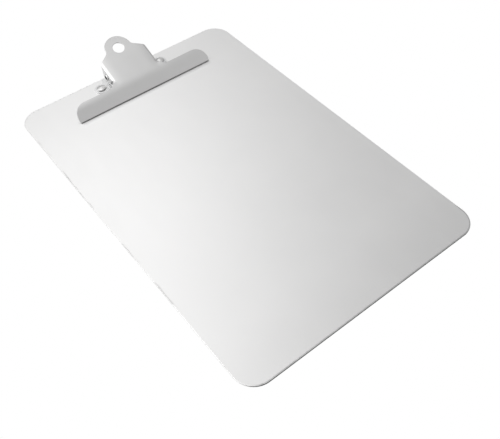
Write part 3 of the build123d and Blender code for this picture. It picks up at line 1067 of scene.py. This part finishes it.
def board_aluminium():
    """Satin rolled aluminium: faint lengthwise grain, handling marks, nicked edge, painted shade
    on the front cut edge and a painted contact shadow in front of the jaw.
    """
    g = Graph(bpy.data.materials.new("board_aluminium"))
    rim = g.rim()
    axes = g.place_axes()
    grain = g.noise(g.place((9.0, 0.12, 1.0)), 1.0, 2.0)
    cloud = g.noise(g.place(), 0.022, 4.0, 0.55)
    smear = g.noise(g.place((0.09, 0.02, 1.0), (3.0, 7.0, 0.0)), 1.0, 3.0)
    scuff = g.noise(g.place((1.0, 0.10, 1.0), (11.0, 5.0, 2.0)), 0.45, 2.0, 0.5)
    scratch = g.ramp(g.noise(g.place((2.2, 0.035, 1.0)), 1.0, 1.0), 0.70, 0.78)
    wear = g.product(g.ramp(scuff, 0.53, 0.64), g.ramp(rim, 0.0, 0.8))
    # painted shade on the front cut edge, the side turned away from the light
    painted_edge_shade = g.product(front_edge_shade_mask(g, axes, rim), g.ramp(scuff, 0.3, 0.7, 0.6, 1.0))
    handled = g.span(axes["Y"], BOARD_LOW.y, HANDLED_REACH, 1.0, 0.0)
    dull = grey(0.885, 0.002)
    clean = grey(0.925, 0.004)
    worn = grey(0.60, 0.01)
    edge_shade_colour = grey(0.22)
    touched = grey(0.80, 0.003)
    painted_jaw_shadow = grey(0.45)

    colour = g.mix(cloud, dull, clean)
    colour = g.mix(g.product(wear, 0.35), colour, worn)
    colour = g.mix(painted_edge_shade, colour, edge_shade_colour)
    colour = g.mix(g.product(handled, 0.5), colour, touched)
    # painted contact shadow of the jaw on the board
    colour = g.mix(g.product(jaw_shadow_band(g, axes), JAW_SHADOW_DEPTH), colour, painted_jaw_shadow)

    roughness = g.scaled(cloud, 0.05, 0.27)
    for marks, change in ((smear, 0.05), (scratch, -0.02), (wear, 0.18)):
        roughness = g.scaled(marks, change, roughness)
    normal = g.bump(grain, 0.0016)
    normal = g.bump(scratch, 0.001, 0.4, normal)
    return g.metal(colour, roughness, normal, 0.8)


def clip_steel():
    """Satin nickel plate over pressed steel: fine crosswise grain, darker cut edges, painted
    shade along the jaw's lower edge.
    """
    g = Graph(bpy.data.materials.new("clip_steel"))
    rim = g.rim()
    grain = g.noise(g.place((0.25, 12.0, 12.0)), 1.0, 2.0)
    pits = g.noise(g.place(), 2.6, 3.0, 0.6)
    cloud = g.noise(g.place(shift=(4.0, 1.0, 6.0)), 0.05, 3.0)
    # painted shade along the lower edge of the jaw, where it meets the board
    jaw_edge_shade = g.product(rim, g.ramp(g.place_axes()["Z"], *JAW_EDGE_SHADE_HEIGHT, 1.0, 0.0))
    dull = grey(0.745, 0.002)
    clean = grey(0.785, 0.004)
    cut = grey(0.66)
    shaded = grey(0.25)
    colour = g.mix(cloud, dull, clean)
    colour = g.mix(g.product(rim, 0.35), colour, cut)
    colour = g.mix(g.product(jaw_edge_shade, 0.8), colour, shaded)
    roughness = g.scaled(grain, 0.03, g.scaled(cloud, 0.08, 0.27))
    normal = g.bump(grain, 0.0012)
    normal = g.bump(pits, 0.004, 0.35, normal)
    return g.metal(colour, roughness, normal)


def base_zinc():
    """Dull zinc plate on the hidden base: cloudy, without a mirror."""
    g = Graph(bpy.data.materials.new("base_zinc"))
    cloud = g.noise(g.place(shift=(7.0, 3.0, 1.0)), 0.12, 3.0)
    fine = g.noise(g.place(), 3.0, 3.0, 0.6)
    colour = g.mix(cloud, grey(0.84, -0.004), grey(0.90, -0.002))
    roughness = g.ramp(cloud, 0.3, 0.7, 0.36, 0.46)
    return g.metal(colour, roughness, g.bump(fine, 0.004, 0.4), 0.35)


def pin_bore_shade(g, axes):
    """1 inside the pin's open ends, where shade is painted, else 0."""
    beside = g.math("SUBTRACT", axes["Y"], HINGE.y)
    above = g.math("SUBTRACT", axes["Z"], HINGE.z)
    return g.span(g.distance(beside, above), PIN_MOUTH_RADIUS, PIN_BORE_SHADE_EDGE, 1.0, 0.0)


def rivet_foot_shadow(g, axes):
    """Painted shadow line at the front foot of each rivet's head, deeper at the left one."""
    across = g.math("SUBTRACT", g.math("ABSOLUTE", axes["X"]), RIVET_X)
    along = g.math("SUBTRACT", axes["Y"], RIVET_Y)
    from_rivet = g.distance(across, along)
    inside = g.span(from_rivet, RIVET_HEAD_RADIUS, RIVET_SHADOW_INSIDE)
    outside = g.span(from_rivet, RIVET_HEAD_RADIUS, RIVET_SHADOW_OUTSIDE, 1.0, 0.0)
    front = g.ramp(along, *RIVET_SHADOW_FRONT, 1.0, 0.0)
    return g.product(inside, outside, front, g.ramp(axes["X"], -10.0, 10.0, *RIVET_SHADOW_DEPTHS))


def bright_steel():
    """Bright nickel on the turned pin and rivets, with soft tool marks, painted shade in the
    pin's bore and a painted shadow at the front foot of each rivet head.
    """
    g = Graph(bpy.data.materials.new("bright_steel"))
    axes = g.place_axes()
    marks = g.noise(g.place(), 1.4, 3.0, 0.6)
    fine = g.noise(g.place(shift=(2.0, 9.0, 4.0)), 6.0, 2.0)
    dull = grey(0.78, 0.004)
    clean = grey(0.84, 0.004)
    painted_bore_shade = grey(0.09)
    # colour of the painted shadow at the rivets' feet
    gap = grey(0.15)
    colour = g.mix(marks, dull, clean)
    # painted shade in the pin's bore
    colour = g.mix(pin_bore_shade(g, axes), colour, painted_bore_shade)
    # painted shadow at the front foot of each rivet head
    colour = g.mix(rivet_foot_shadow(g, axes), colour, gap)
    roughness = g.ramp(marks, 0.3, 0.7, 0.34, 0.42)
    normal = g.bump(marks, 0.006, 0.4)
    normal = g.bump(fine, 0.002, 0.4, normal)
    return g.metal(colour, roughness, normal, 0.8)


def spring_steel():
    """Drawn wire: streaks run along the wire."""
    g = Graph(bpy.data.materials.new("spring_steel"))
    wire = g.add("ShaderNodeUVMap", None, uv_map="wire_map").outputs[0]
    stretched = g.add("ShaderNodeMapping", {"Vector": wire, "Scale": (180.0, 22.0, 1.0)})
    streak = g.noise(stretched.outputs[0], 1.0, 3.0)
    cloud = g.noise(g.place(), 0.35, 3.0)
    colour = g.mix(streak, grey(0.50), grey(0.62, 0.004))
    roughness = g.ramp(cloud, 0.3, 0.7, 0.24, 0.36)
    return g.metal(colour, roughness, g.bump(streak, 0.01, 0.5))


# ------------------------------------------------------------------ stage, light, camera


def soft_world():
    """Plain white to the camera; to the metal, a dim room with a few large soft lights."""
    world = bpy.data.worlds.new("soft_studio")
    bpy.context.scene.world = world
    g = Graph(world)
    way = g.add("ShaderNodeTexCoord").outputs["Generated"]
    strength = ROOM_LIGHT
    for towards, narrow, bright in SOFT_LIGHTS:
        middle = tuple(Vector(towards).normalized())
        facing = g.add("ShaderNodeVectorMath", {0: way, 1: middle}, operation="DOT_PRODUCT")
        fall = g.math("MULTIPLY", g.math("SUBTRACT", facing.outputs["Value"], 1.0), narrow)
        strength = g.math("ADD", g.math("MULTIPLY", g.math("EXPONENT", fall), bright), strength)
    strength = g.math("MAXIMUM", strength, ROOM_DARKEST)
    seen = g.add("ShaderNodeLightPath").outputs["Is Camera Ray"]
    lit = g.add("ShaderNodeBackground", {"Color": WHITE, "Strength": strength}).outputs[0]
    plain = g.add("ShaderNodeBackground", {"Color": WHITE, "Strength": 1.0}).outputs[0]
    both = g.add("ShaderNodeMixShader", {0: seen, 1: lit, 2: plain}).outputs[0]
    g.add("ShaderNodeOutputWorld", {"Surface": both})


def floor_material():
    """Pale floor: white where it is seen. The metal mirrors it darker in front of the board."""
    g = Graph(bpy.data.materials.new("pale_floor"))
    seen = g.add("ShaderNodeLightPath").outputs["Is Camera Ray"]
    place = g.add("ShaderNodeNewGeometry")
    forward = g.add("ShaderNodeSeparateXYZ", {0: place.outputs["Position"]}).outputs["Y"]
    start, end = (BOARD_LOW.y + edge for edge in FLOOR_FRONT_EDGE)
    glow = g.ramp(forward, start * MM, end * MM, FLOOR_FRONT_LIGHT, FLOOR_LIGHT)
    white = g.add("ShaderNodeEmission", {"Color": WHITE, "Strength": 1.0}).outputs[0]
    pale = g.add("ShaderNodeEmission", {"Color": WHITE, "Strength": glow}).outputs[0]
    top = g.add("ShaderNodeMixShader", {0: seen, 1: pale, 2: white}).outputs[0]
    clear = g.add("ShaderNodeBsdfTransparent").outputs[0]
    surface = g.add("ShaderNodeMixShader", {0: place.outputs["Backfacing"], 1: top, 2: clear})
    g.add("ShaderNodeOutputMaterial", {"Surface": surface.outputs[0]})
    return g.owner


def floor():
    """Large plain floor just under the board."""
    bm = bmesh.new()
    bmesh.ops.create_grid(bm, x_segments=8, y_segments=8, size=FLOOR_HALF_SIZE * MM)
    mesh = bpy.data.meshes.new("floor")
    bm.to_mesh(mesh)
    bm.free()
    mesh.materials.append(floor_material())
    made = bpy.data.objects.new("floor", mesh)
    made.location.z = -FLOOR_GAP * MM
    bpy.context.scene.collection.objects.link(made)


def camera():
    """Camera above the front left corner, looking down at the board."""
    middle = (BOARD_LOW + BOARD_HIGH) / 2
    target = Vector((middle.x + CAMERA_TARGET[0], middle.y + CAMERA_TARGET[1], BOARD_TOP))
    flat = math.cos(CAMERA_ELEVATION)
    back = Vector((
        math.sin(CAMERA_AZIMUTH) * flat,
        -math.cos(CAMERA_AZIMUTH) * flat,
        math.sin(CAMERA_ELEVATION),
    ))
    right = Vector((0, 0, 1)).cross(back).normalized()
    up = back.cross(right)
    cosine, sine = math.cos(CAMERA_ROLL), math.sin(CAMERA_ROLL)
    rolled_right = right * cosine + up * sine
    rolled_up = up * cosine - right * sine
    data = bpy.data.cameras.new("camera")
    data.sensor_width = SENSOR_WIDTH
    data.lens = CAMERA_LENS
    data.clip_start, data.clip_end = CAMERA_CLIP
    made = bpy.data.objects.new("camera", data)
    axes = Matrix((rolled_right, rolled_up, back)).transposed().to_4x4()
    place = (target + back * CAMERA_DISTANCE) * MM
    made.matrix_world = Matrix.Translation(place) @ axes
    bpy.context.scene.collection.objects.link(made)
    bpy.context.scene.camera = made


def main():
    aluminium = board_aluminium()
    nickel = clip_steel()
    zinc = base_zinc()
    bright = bright_steel()
    wire = spring_steel()
    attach(board_piece(aluminium), BASE)
    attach(base_piece(zinc), BASE)
    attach(jaw_piece(nickel), JAW)
    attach(pin_piece(bright), BASE)
    for side, hand in ((-1, "left"), (1, "right")):
        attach(rivet_piece(f"domed_rivet_{hand}", f"rivet_{hand}", side, bright), BASE)
        spring_piece(f"coil_{hand}", f"spring_{hand}", side, wire)
    soft_world()
    floor()
    camera()
    bpy.context.scene.view_settings.view_transform = "Standard"


main()
